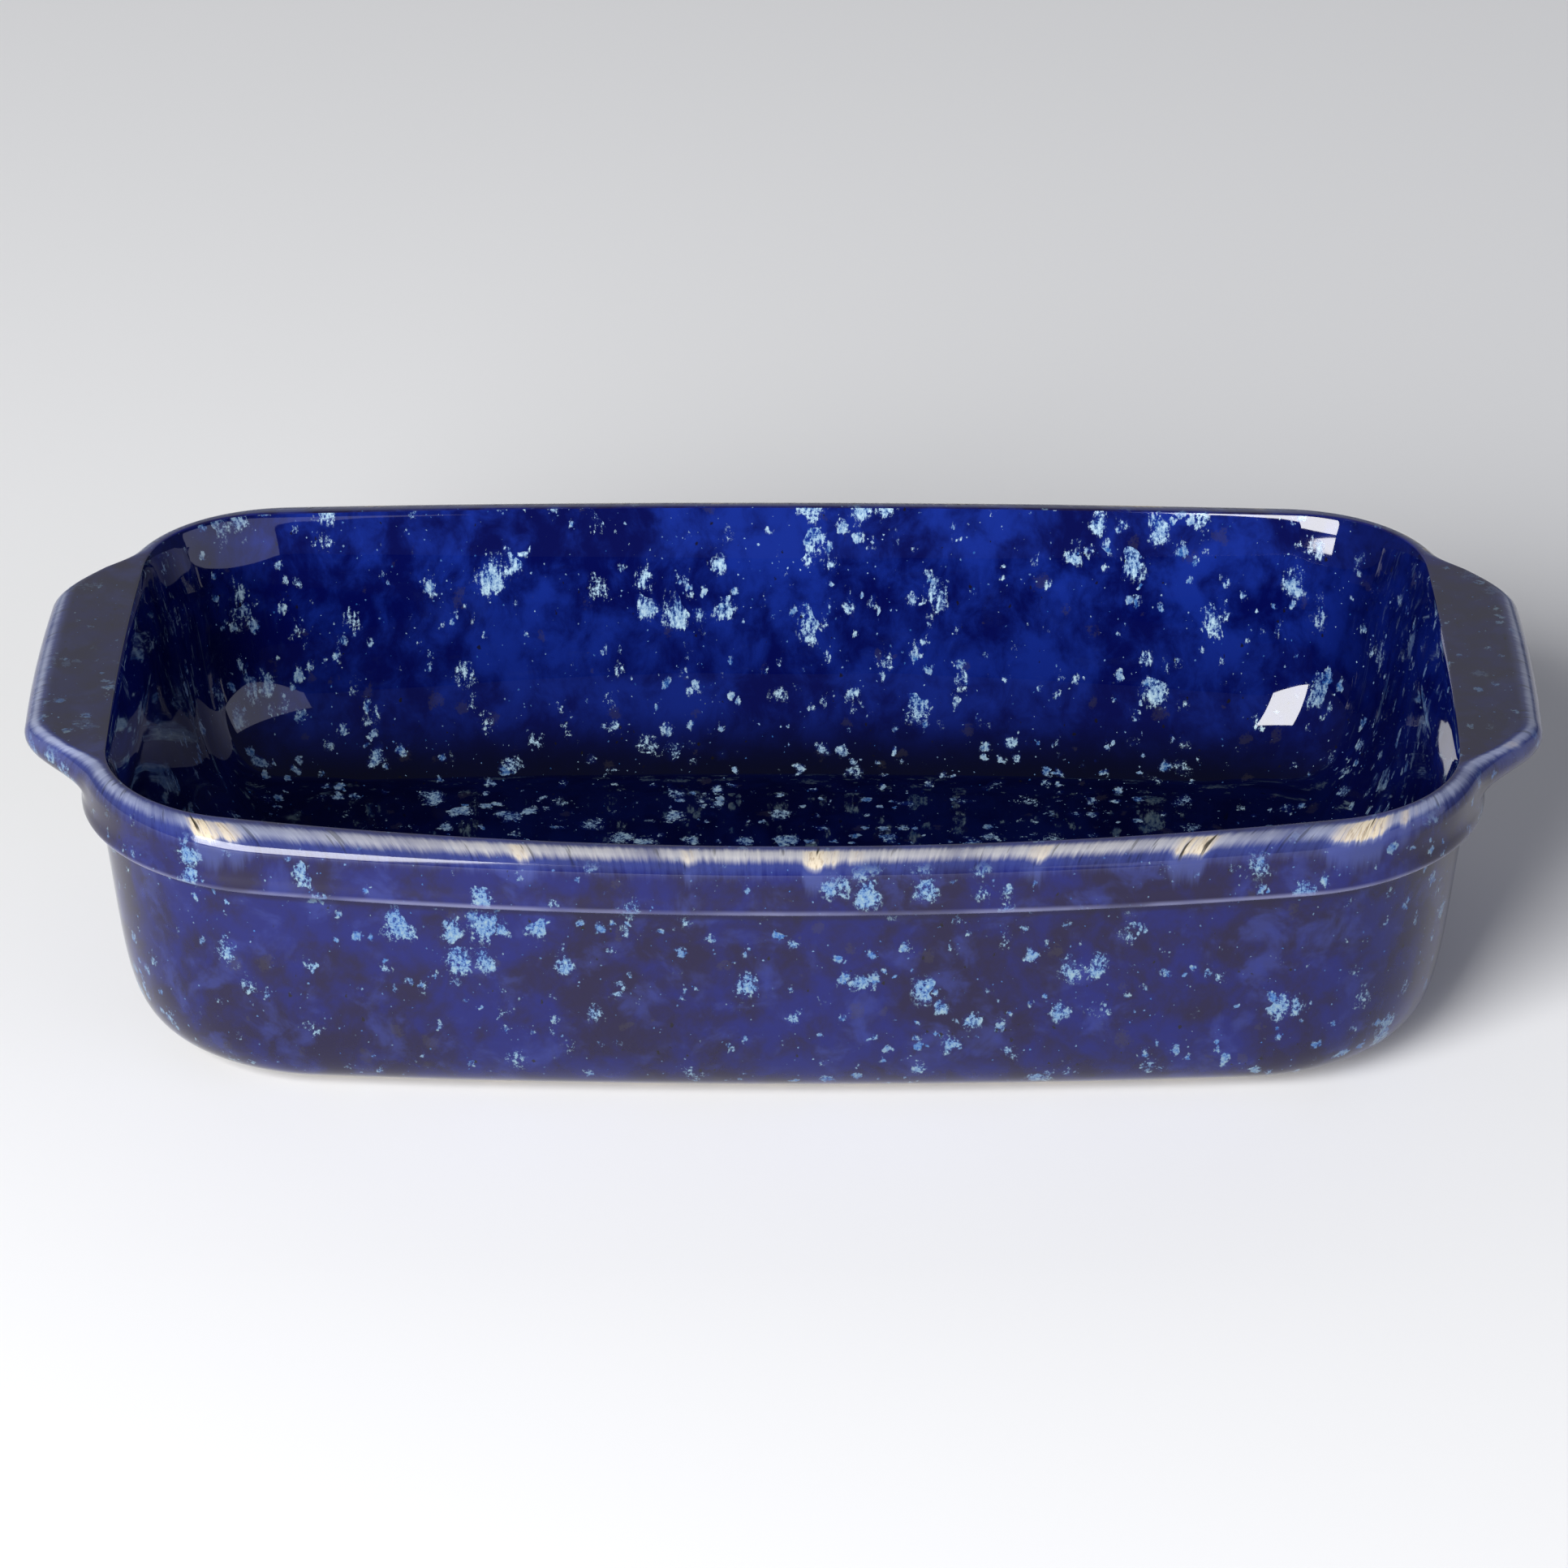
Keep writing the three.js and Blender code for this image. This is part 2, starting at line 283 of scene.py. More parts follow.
def profile(start, bends):
    """Points along a chain of bends, with the start left out."""
    points = [start]
    for first_pull, second_pull, end, steps in bends:
        points += cubic(points[-1], first_pull, second_pull, end, steps)
    return points[1:]


def between(low, high, share):
    share = min(max(share, 0), 1)
    return tuple(a + (b - a) * share for a, b in zip(low, high))


def body_plan(z):
    return between(FOOT_PLAN, RIM_PLAN, (z - FOOT_HEIGHT) / (SHOULDER_HEIGHT - FOOT_HEIGHT))


def cavity_plan(z):
    return between(FLOOR_PLAN, MOUTH_PLAN, (z - FLOOR_HEIGHT) / (INNER_EDGE[1] - FLOOR_HEIGHT))


def rim_plan(inset):
    """The rim's own outline, turning into the mouth's across its top."""
    return between(RIM_PLAN, MOUTH_PLAN, inset / INNER_EDGE[0])


class Station:
    """A place in the section: on the plain wall, and where a handle stands out of it."""

    def __init__(self, body, plan, handle=None, shrink=1.0, along=(0.0, 0.0)):
        self.body = body
        self.handle = handle or body
        self.plan = plan
        self.shrink = shrink
        self.along = along

    def plain(self):
        """The same place with no handle on it."""
        return Station(self.body, self.plan, shrink=self.shrink, along=(self.along[0],) * 2)


def lower_wall():
    """From the edge of the glaze at the foot, up the wall and round the shoulder's bead.

    The wall's last point is left out, so that the tuck starts on the wall and not at a corner.
    """
    wall_share_end_shaded = [GLAZE_EDGE] + profile(GLAZE_EDGE, WALL_BENDS)[:-1]
    points = wall_share_end_shaded + profile(wall_share_end_shaded[-1], SHOULDER_BENDS)
    return [Station(p, body_plan(p[1])) for p in points]


def handle_edge():
    """The collar above the shoulder, and with it the handle's underside, edge and top."""
    collar = profile(COLLAR_FOOT, COLLAR_BENDS)
    handle = profile(COLLAR_FOOT, HANDLE_BENDS)
    stations = [Station(b, RIM_PLAN, h) for b, h in zip(collar, handle)]
    for i in range(1, ROUNDING_STEPS + 1):
        angle = math.pi / 2 * i / ROUNDING_STEPS
        inset = RIM_ROUNDING * (1 - math.cos(angle))
        z = RIM_WIDEST + RIM_HALF_THICKNESS * math.sin(angle)
        stations.append(Station((inset, z), rim_plan(inset), (inset - HANDLE_PROJECTION, z)))
    return stations


def rim_top():
    points = [CREST] + profile(CREST, CREST_BENDS)
    return [Station(p, rim_plan(p[0])) for p in points]


def cavity_wall():
    """From the rim's inner edge down the flared lip and the wall to the edge of the floor."""
    return [Station(p, cavity_plan(p[1])) for p in profile(INNER_EDGE, CAVITY_BENDS)]


def disc(point, plan):
    """Rings that close a flat floor from its edge to its middle."""
    return [Station(point, plan, shrink=1 - i / DISC_STEPS) for i in range(1, DISC_STEPS + 1)]


def measure(stations, zero):
    """Marks each station with its distance along the section from one of them."""
    runs = {"body": [0.0], "handle": [0.0]}
    for key, distances in runs.items():
        for before, after in zip(stations, stations[1:]):
            a, b = getattr(before, key), getattr(after, key)
            distances.append(distances[-1] + math.hypot(b[0] - a[0], b[1] - a[1]))
    for i, station in enumerate(stations):
        station.along = tuple(run[zero] - run[i] for run in runs.values())


def under_glaze(stations):
    """The same section on the clay, one coat of glaze further in."""
    made = []
    for i, station in enumerate(stations):
        before = stations[max(i - 1, 0)]
        after = stations[min(i + 1, len(stations) - 1)]
        moved = {}
        for key in ("body", "handle"):
            a, b = getattr(before, key), getattr(after, key)
            run = (b[0] - a[0], b[1] - a[1])
            length = math.hypot(*run)
            here = getattr(station, key)
            moved[key] = (here[0] + run[1] / length * GLAZE, here[1] - run[0] / length * GLAZE)
        handle = moved["body"] if station.handle == station.body else moved["handle"]
        made.append(Station(moved["body"], station.plan, handle, along=station.along))
    return made


# ---------------------------------------------------------------- the sweep

SWEEP_SIZES = {
    "Half length": BODY_LENGTH / 2,
    "Half width": BODY_WIDTH / 2,
    "Rim height": RIM_HEIGHT,
    "Rim rise": RIM_RISE,
    "Level below": LEVEL_BELOW,
    "Handle half width": HANDLE_HALF_WIDTH,
    "Handle flank": HANDLE_FLANK,
    "Rim corner": RIM_PLAN[0],
    "Rim side bow": RIM_PLAN[1],
    "Rim end bow": RIM_PLAN[2],
}
SWEEP_COUNTS = {"Steps per arc": ARC_STEPS, "First column": 0, "Columns": ALL_COLUMNS}


def outline(half_length, half_width, corner, side_bow, end_bow, reach):
    """A place on the quarter outline of three arcs. Reach is 0 at the end and 3 at the side."""
    side_radius = (half_length * half_length + side_bow * side_bow) / (side_bow * 2)
    end_radius = (half_width * half_width + end_bow * end_bow) / (end_bow * 2)
    side_y = half_width - side_radius
    end_x = half_length - end_radius
    span = root(end_x * end_x + side_y * side_y)
    to_side = side_radius - corner
    to_end = end_radius - corner
    along = (to_side * to_side - to_end * to_end + span * span) / (span * 2)
    across = root(to_side * to_side - along * along)
    unit_x = end_x / span
    unit_y = (0 - side_y) / span
    corner_x = unit_x * along + unit_y * across
    corner_y = side_y + unit_y * along - unit_x * across
    end_angle = bearing(corner_y, corner_x - end_x)
    side_angle = bearing(corner_y - side_y, corner_x)
    angle = (end_angle * clip(reach) + (side_angle - end_angle) * clip(reach - 1)
             + (math.pi / 2 - side_angle) * clip(reach - 2))
    on_end = reach < 1
    on_side = reach > 2
    on_corner = 1 - on_end - on_side
    radius = end_radius * on_end + corner * on_corner + side_radius * on_side
    x = end_x * on_end + corner_x * on_corner + radius * cosine(angle)
    y = side_y * on_side + corner_y * on_corner + radius * sine(angle)
    return x, y


def handle_columns():
    """How many columns a handle reaches to either side of its middle."""
    size = (BODY_LENGTH / 2, BODY_WIDTH / 2)
    edge = HANDLE_HALF_WIDTH + HANDLE_FLANK
    columns = range(ARCS_PER_QUARTER * ARC_STEPS)
    return sum(outline(*size, *RIM_PLAN, column / ARC_STEPS)[1] < edge for column in columns)


def sweep_interface():
    """An empty node tree with the sweep's named inputs and its output."""
    group = bpy.data.node_groups.new("section_round_the_pan", "GeometryNodeTree")
    face = group.interface
    face.new_socket("Section", in_out="INPUT", socket_type="NodeSocketGeometry")
    for name, value in SWEEP_SIZES.items():
        face.new_socket(name, in_out="INPUT", socket_type="NodeSocketFloat").default_value = value
    for name, value in SWEEP_COUNTS.items():
        face.new_socket(name, in_out="INPUT", socket_type="NodeSocketInt").default_value = value
    face.new_socket("Material", in_out="INPUT", socket_type="NodeSocketMaterial")
    face.new_socket("Pan", in_out="OUTPUT", socket_type="NodeSocketGeometry")
    return group


def column_place(place, steps_per_arc):
    """A column's reach along its quarter outline, and the signs that turn it into its quarter."""
    per_quarter = steps_per_arc * ARCS_PER_QUARTER
    place = place.math("FLOORED_MODULO", place, per_quarter * 4)
    quarter = ((place + 0.5) / per_quarter).floor()
    step = (place - quarter * per_quarter) / steps_per_arc
    odd = quarter.math("MODULO", quarter, 2)
    reach = step.toward(ARCS_PER_QUARTER - step, odd)
    turn_x = 1 - 2 * ((quarter - 1.5).size() < 1)
    turn_y = 1 - 2 * (quarter > 1.5)
    return reach, turn_x, turn_y


def smooth_surface(tree, geometry, material):
    """Welds the sweep, shades it smooth but for its sharp edges, and gives it its material."""
    welded = tree.add("GeometryNodeMergeByDistance", {}, {0: geometry, "Distance": WELD})
    crease = tree.add("GeometryNodeInputMeshEdgeAngle") > SHARPEST_SMOOTH_EDGE
    smooth = tree.add("GeometryNodeSetShadeSmooth", {"domain": "FACE"},
                      {0: welded, "Shade Smooth": True})
    smooth = tree.add("GeometryNodeSetShadeSmooth", {"domain": "EDGE"},
                      {0: smooth, "Selection": crease, "Shade Smooth": False})
    real = tree.add("GeometryNodeRealizeInstances", {}, {0: smooth})
    return tree.add("GeometryNodeSetMaterial", {}, {0: real, "Material": material})


def sweep_tree():
    """A node tree that carries a section round the pan's bowed, round-cornered outline.

    Each point keeps "flow": where its column crosses the rim, and its distance along the section.
    """
    group = sweep_interface()
    tree = Tree(group)
    given = tree.node("NodeGroupInput")

    def read(*names):
        wires = [Wire(tree, given.outputs[name]) for name in names]
        return wires if len(wires) > 1 else wires[0]

    section = read("Section")
    rows = tree.add("GeometryNodeAttributeDomainSize", {"component": "MESH"}, {0: section})
    lines = read("Columns") + 1
    grid = tree.add("GeometryNodeMeshGrid", {}, {"Vertices X": rows, "Vertices Y": lines})
    index = tree.add("GeometryNodeInputIndex")
    row = (index / lines + WHOLE_NUMBER_SLACK).floor()
    place = index - row * lines + read("First column")
    reach, turn_x, turn_y = column_place(place, read("Steps per arc"))

    def sampled(name):
        settings = {"data_type": "FLOAT"}
        value = tree.add("GeometryNodeInputNamedAttribute", settings, {"Name": name})
        at = {"domain": "POINT", "data_type": "FLOAT"}
        return tree.add("GeometryNodeSampleIndex", at, {0: section, 1: value, "Index": row})

    half_length, half_width = read("Half length", "Half width")
    rim = read("Rim corner", "Rim side bow", "Rim end bow")
    plan = [sampled(name) for name in ("corner", "side_bow", "end_bow")]
    inset = sampled("inset")
    rim_x, rim_y = outline(half_length, half_width, *rim, reach)
    x, y = outline(half_length - inset, half_width - inset, *plan, reach)

    flank_end, flank = read("Handle half width", "Handle flank")
    share = clip((flank_end + flank - rim_y) / flank)
    share = share * share * (3 - 2 * share)
    raised = sampled("height") + sampled("rise") * share
    rim_height, level = read("Rim height", "Level below")
    lift = ((raised - level) / (rim_height - level)).at_least(0)
    z = raised + lift * read("Rim rise") * (x / half_length) * (x / half_length)
    shrink = sampled("shrink")
    out_x = (x * shrink + sampled("push") * share) * turn_x
    at = tree.pack(out_x, y * shrink * turn_y, z)
    shaped = tree.add("GeometryNodeSetPosition", {}, {0: grid, "Position": at})

    along = sampled("along_body").toward(sampled("along_handle"), share)
    flow = tree.pack(rim_x * turn_x, rim_y * turn_y, along)
    stored = tree.add("GeometryNodeStoreNamedAttribute",
                      {"data_type": "FLOAT_VECTOR", "domain": "POINT"},
                      {0: shaped, "Name": "flow", "Value": flow})
    tree.node("NodeGroupOutput", {}, {0: smooth_surface(tree, stored, read("Material"))})
    return group


def section_object(name, stations):
    """The section as loose points that carry their sizes as attributes."""
    mesh = bpy.data.meshes.new(name)
    mesh.from_pydata([(s.body[0], 0, s.body[1]) for s in stations], [], [])
    facts = {
        "inset": [s.body[0] for s in stations],
        "height": [s.body[1] for s in stations],
        "push": [s.body[0] - s.handle[0] for s in stations],
        "rise": [s.handle[1] - s.body[1] for s in stations],
        "corner": [s.plan[0] for s in stations],
        "side_bow": [s.plan[1] for s in stations],
        "end_bow": [s.plan[2] for s in stations],
        "shrink": [s.shrink for s in stations],
        "along_body": [s.along[0] for s in stations],
        "along_handle": [s.along[1] for s in stations],
    }
    for key, values in facts.items():
        mesh.attributes.new(key, "FLOAT", "POINT").data.foreach_set("value", values)
    made = bpy.data.objects.new(name, mesh)
    bpy.context.scene.collection.objects.link(made)
    return made


def sweep(name, stations, material, columns=(0, ALL_COLUMNS)):
    """A closed piece made by carrying a section round the pan, or over some of its columns."""
    made = section_object(name, stations)
    modifier = made.modifiers.new("sweep", "NODES")
    modifier.node_group = SWEEP
    sockets = {s.name: s.identifier for s in SWEEP.interface.items_tree if s.in_out == "INPUT"}
    modifier[sockets["First column"]], modifier[sockets["Columns"]] = columns
    modifier[sockets["Material"]] = material
    bpy.context.view_layer.update()
    worked_out = made.evaluated_get(bpy.context.evaluated_depsgraph_get())
    shape = bpy.data.meshes.new_from_object(worked_out)
    made.modifiers.remove(modifier)
    made.data = shape
    shape.name = name
    face_out(shape)
    return made


def face_out(mesh):
    """Turns a closed mesh so that its faces look outwards."""
    work = bmesh.new()
    work.from_mesh(mesh)
    bmesh.ops.recalc_face_normals(work, faces=work.faces)
    if work.calc_volume(signed=True) < 0:
        bmesh.ops.reverse_faces(work, faces=work.faces)
    work.to_mesh(mesh)
    work.free()


# ---------------------------------------------------------------- glazes and clay

DEEP_COBALT = (0.0003, 0.0007, 0.0105, 1)
COBALT = (0.0007, 0.0018, 0.046, 1)
BRIGHT_COBALT = (0.0045, 0.016, 0.165, 1)
PLUM = (0.0070, 0.0046, 0.026, 1)
VIOLET_BLUE = (0.0050, 0.0068, 0.080, 1)
BLUE_HAZE = (0.022, 0.033, 0.165, 1)
CRYSTAL_BLUE = (0.022, 0.10, 0.29, 1)
CRYSTAL_PALE = (0.36, 0.50, 0.56, 1)
CRYSTAL_GREY = (0.17, 0.25, 0.29, 1)
IRON_SPOT = (0.005, 0.004, 0.003, 1)
OLIVE = (0.030, 0.027, 0.026, 1)
CREAM = (0.50, 0.43, 0.32, 1)
MILK = (0.39, 0.385, 0.385, 1)
PALE_BLUE = (0.25, 0.29, 0.42, 1)
RIM_HAZE = (0.045, 0.062, 0.20, 1)
RUST = (0.14, 0.085, 0.045, 1)
LUG_BLACK = (0.0075, 0.0080, 0.026, 1)
# pale glaze worn thin on the shoulder's bead, partly a painted highlight
WORN_BLUE_AND_HIGHLIGHT = (0.13, 0.135, 0.24, 1)
FOOT_WASH = (0.20, 0.18, 0.17, 1)
UNDER_BLUE = (0.016, 0.018, 0.12, 1)
CLAY = (0.42, 0.34, 0.25, 1)
CLAY_DARK = (0.24, 0.20, 0.16, 1)
CLAY_IRON = (0.06, 0.04, 0.03, 1)
TABLE_GREY = (0.84, 0.84, 0.84, 1)

# Kinds of fleck: spacing, largest size, share of places filled, length of tail, and a shift
# that keeps one kind off the next
Fleck = namedtuple("Fleck", "spacing largest filled tail shift")
LARGE_CRYSTAL = Fleck(6.2 * MM, 3.1 * MM, 0.52, 1.9, (0.31, 0.11, 0.07))
MEDIUM_CRYSTAL = Fleck(3.4 * MM, 1.5 * MM, 0.42, 1.2, (0.83, 0.47, 0.29))
FINE_CRYSTAL = Fleck(1.6 * MM, 0.32 * MM, 0.60, 0.3, (0.19, 0.67, 0.53))
IRON_SPECK = Fleck(3.0 * MM, 0.55 * MM, 0.55, 1.2, (0.41, 0.05, 0.61))
OLIVE_BLOTCH = Fleck(7.0 * MM, 2.4 * MM, 0.5, 0.6, (0.27, 0.71, 0.13))
CLAY_GRAIN = Fleck(1.6 * MM, 0.3 * MM, 1.0, 0.0, (0.2, 0.4, 0.9))

ROUND_END_SQUASH = 0.35  # how much flatter a fleck's lower end is for a tail of length 1
SMALLEST_FLECK = MM / 1000
FIBRE_BREAK, GRAIN_BREAK = 4.2, 2.6  # how hard fibre and grain break up a crystal
GROUP_PULL, BARE_PUSH = 0.65, 1.2  # how far crystals spread inside a group, and shrink outside
FIBRE_DRAW = 0.74  # how far the fibre is drawn up the wall

# Kinds of grain: waves to a metre, octaves of detail, roughness
Grain = namedtuple("Grain", "scale detail roughness")
CROWDING = Grain(27, 3.0, 0.6)
CRYSTAL_FIBRE = Grain(1050, 4.0, 0.72)
CRYSTAL_GRAIN = Grain(1500, 3.0, 0.7)
BROAD_CLOUD = Grain(38, 2.0, 0.5)
SOFT_CLOUD = Grain(130, 5.0, 0.62)
UNMELTED_GRAIN = Grain(1700, 3.0, 0.7)
POURED_WAVES = Grain(38, 1.0, 0.4)
RIM_STREAKS = Grain(1100, 3.0, 0.65)
RIM_WANDER = Grain(45, 3.0, 0.6)
RIM_TICKS = Grain(620, 2.0, 0.5)
RIM_RUST = Grain(1500, 3.0, 0.6)
WISPS = Grain(95, 4.0, 0.6)
BEAD_WEAR_AND_HIGHLIGHT = Grain(40, 3.0, 0.6)
THIN_COAT_WAVES = Grain(300, 3.0, 0.5)
CLAY_TONE = Grain(160, 4.0, 0.6)
SAND = Grain(2600, 3.0, 0.7)

# How strongly each thing in the glaze covers what is under it
OLIVE_COVER = 0.28
IRON_COVER = 0.85
CRYSTAL_COVER = 0.95
RIM_HAZE_COVER = 0.55
WISP_COVER = 0.45
LUG_BLACK_COVER = 0.6
# this one is painted shade laid in the tuck under the shoulder's bead, not a thing in the glaze
TUCK_SHADE_COVER = 0.55
FOOT_WASH_COVER = 0.85
CLAY_IRON_COVER = 0.8

INSIDE_ROUGHNESS = 0.03
OUTSIDE_ROUGHNESS = 0.08
UNDER_ROUGHNESS = 0.28
CLAY_ROUGHNESS = 0.75
TABLE_ROUGHNESS = 0.6
CRYSTAL_ROUGHNESS = 0.12  # added to the glaze's own
OUTSIDE_SPECULAR = 0.38
GLAZE_IOR = 1.5
CLAY_IOR = 1.45
TABLE_IOR = 1.3


def new_material(name):
    material = bpy.data.materials.new(name)
    material.use_nodes = True
    material.node_tree.nodes.clear()
    return material, Tree(material.node_tree)


def finish_material(tree, colour, roughness, normal=None, **fixed):
    """Puts the finish on a Principled shader. Sizes in fixed are the same all over."""
    values = {"Base Color": colour, "Roughness": roughness}
    if normal is not None:
        values["Normal"] = normal
    for name, value in fixed.items():
        values[name.replace("_", " ")] = value
    shader = tree.add("ShaderNodeBsdfPrincipled", {}, values)
    tree.node("ShaderNodeOutputMaterial", {}, {0: shader})


def own_place(tree):
    """Where a point lies on the pan itself."""
    return tree.add("ShaderNodeTexCoord", out="Object")


def noise(tree, at, grain, out=0):
    values = {"Vector": at, "Scale": grain.scale, "Detail": grain.detail,
              "Roughness": grain.roughness}
    return tree.add("ShaderNodeTexNoise", {}, values, out)


def bump(tree, height, strength, depth):
    values = {"Strength": strength, "Distance": depth, "Height": height}
    return tree.add("ShaderNodeBump", {}, values)


def stretched(at, x, y, z):
    """Coordinates scaled along each axis."""
    return at.vector("MULTIPLY", (x, y, z))


def warped(tree, at, scale, reach):
    """Coordinates pushed about by noise, at most by about half of reach."""
    drift = noise(tree, at, Grain(scale, 1.0, 0.5), out="Color").vector("SUBTRACT", (0.5, 0.5, 0.5))
    return at.vector("ADD", drift.vector("SCALE", Scale=reach))


def flecks(tree, at, kind, crowded=1.0, drawn=1.0):
    """Flecks scattered in a coat: how deep inside one a place is, and how near its lower edge.

    Each sits somewhere in its own cell. It has a round lower end and a tail drawn up the wall.
    """
    tail = kind.tail * drawn
    squash = 1 + ROUND_END_SQUASH * tail
    ragged = warped(tree, at, 0.8 / kind.largest, kind.largest * 1.5)
    moved = stretched(ragged, 1, 1, 1 / squash).vector("ADD", kind.shift)
    cells = {"feature": "F1", "distance": "EUCLIDEAN"}
    values = {"Vector": moved, "Scale": 1 / kind.spacing, "Randomness": 1.0}
    chance, centre = tree.outputs("ShaderNodeTexVoronoi", cells, values, ("Color", "Position"))
    size_draw, filled_draw, tail_draw = chance.parts()
    x, y, z = moved.vector("SUBTRACT", centre).parts()
    up = z.at_least(0) / (1 + tail * tail_draw) + z.at_most(0) * squash
    away = root(x * x + y * y + up * up)
    filled = filled_draw < kind.filled * crowded
    size = (size_draw ** 1.4 * 0.75 + 0.25) * kind.largest * filled + SMALLEST_FLECK
    inside = (1 - away / size).at_least(-1)
    low = (0 - z / size).ramp(-1.2, 0.4)
    return inside, low


def crystal_marks(tree, at, drawn, crowded, room):
    """Crystals of every size: broken patches, fine dots, the glow round them, and their fibre.

    Where room is 0 there are no large ones.
    """
    big, low = flecks(tree, at, LARGE_CRYSTAL, crowded, drawn)
    mid, low_mid = flecks(tree, at, MEDIUM_CRYSTAL, crowded, drawn)
    small, _ = flecks(tree, at, FINE_CRYSTAL, drawn=drawn)
    groups = noise(tree, at, CROWDING).ramp(0.42, 0.58)
    fibre = noise(tree, stretched(at, 1, 1, 1 - FIBRE_DRAW * drawn), CRYSTAL_FIBRE)
    grain = noise(tree, at, CRYSTAL_GRAIN)
    rough = (fibre - 0.5) * FIBRE_BREAK + (grain - 0.5) * GRAIN_BREAK
    crowd = groups * GROUP_PULL - BARE_PUSH
    large = (big.ramp(-0.5, 0.6) * 1.05 + rough + crowd + low * 0.4).ramp(0.0, 0.75)
    medium = (mid.ramp(-0.5, 0.6) * 1.1 + rough * 0.8 + crowd + low_mid * 0.3).ramp(0.0, 0.6)
    tiny = small.ramp(0.1, 0.5) * (groups * 0.3 + 0.6)
    large = large * big.ramp(-0.55, 0.0) * room
    medium = medium * mid.ramp(-0.55, 0.0) * (room * 0.5 + 0.45)
    glow = (big.ramp(-0.5, 0.5) * groups * room).at_least(mid.ramp(-0.3, 0.5) * groups * room)
    lit = clip((fibre * 0.62 + grain * 0.38 - 0.47) * 5 + low * 0.35)
    return clip(large.at_least(medium * 0.9).at_least(tiny)), clip(glow), lit


def clouds(tree, at, drawn):
    """Where the glaze lies thin and bright: soft clouds, drawn a little down the wall."""
    moved = stretched(warped(tree, at, 90, 7 * MM), 1, 1, drawn)
    cloud = noise(tree, moved, BROAD_CLOUD) * 0.45 + noise(tree, moved, SOFT_CLOUD) * 0.55
    return cloud.ramp(0.40, 0.62)


def dark_specks(tree, at):
    """Small iron specks, and wider olive blotches of unmelted grain."""
    spots, _ = flecks(tree, at, IRON_SPECK)
    blots, _ = flecks(tree, at, OLIVE_BLOTCH)
    grain = noise(tree, at, UNMELTED_GRAIN)
    blotch = (blots + (grain - 0.5) * 2.4 - 0.1).ramp(0.0, 0.4) * blots.ramp(0.0, 0.3)
    return spots.ramp(0.05, 0.5), blotch


def crystals_on(tree, at, colour, pale, room, drawn=1.0, crowded=1.0, glow_share=0.4):
    """Lays iron, glow and crystals over the ground colour of a glaze."""
    mask, glow, lit = crystal_marks(tree, at, drawn, crowded, room)
    spots, blotch = dark_specks(tree, at)
    colour = tree.mix(glow * glow_share, colour, BRIGHT_COBALT)
    colour = tree.mix(blotch * room * OLIVE_COVER, colour, OLIVE)
    colour = tree.mix(spots * IRON_COVER, colour, IRON_SPOT)
    return tree.mix(mask * CRYSTAL_COVER, colour, tree.mix(lit, CRYSTAL_BLUE, pale)), mask


def finish_glaze(tree, at, colour, crystal, smoothest, **fixed):
    """The surface of poured glaze: long soft waves, and duller crystals standing slightly proud."""
    waves = noise(tree, at, POURED_WAVES) + crystal * 0.008
    roughness = crystal * CRYSTAL_ROUGHNESS + smoothest
    normal = bump(tree, waves, 0.25, 0.6 * MM)
    finish_material(tree, colour, roughness, normal, IOR=GLAZE_IOR, **fixed)


def cobalt_glaze():
    """The glossy coat inside: bright on the wall, nearly black where it pools on the floor, and
    painted darker on the end walls as shade.
    """
    material, tree = new_material("cobalt_glaze")
    at = own_place(tree)
    x, _, z = at.parts()
    end = x.size()
    wall_share_end_shaded = z.ramp(FLOOR_HEIGHT + 1.5 * MM, FLOOR_HEIGHT + 13 * MM)
    # painted shade: toward the ends the wall is turned back toward the darker ground colour, as if
    # less lit
    wall_share_end_shaded = wall_share_end_shaded * end.ramp(146 * MM, 112 * MM).at_least(0.35)
    upper = z.ramp(20 * MM, 62 * MM)
    ground = tree.mix(wall_share_end_shaded, DEEP_COBALT, COBALT)
    bright = tree.mix(wall_share_end_shaded, COBALT, BRIGHT_COBALT)
    thin = clouds(tree, at, 0.7) * (wall_share_end_shaded * 0.55 + upper * 0.35 + 0.08)
    colour = tree.mix(thin, ground, bright)
    room = end.ramp(142 * MM, 106 * MM) * 0.72 + 0.28
    colour, crystal = crystals_on(tree, at, colour, CRYSTAL_PALE, room)
    finish_glaze(tree, at, colour, crystal, INSIDE_ROUGHNESS)
    return material


# The break in the glaze on the rim, along the section from the drip line, which is 0
BREAK_START = 3.8 * MM  # its inner edge above that line
START_RAGGED = 1.2 * MM
STREAK_REACH = 2 * MM  # how far the streaks and the cream patches carry it down the outside
PATCH_REACH = 2 * MM
LUG_DRIP = 0.8 * MM
LUG_BREAK_LOSS = 1.4 * MM
TICKS_ABOVE = 1.6 * MM


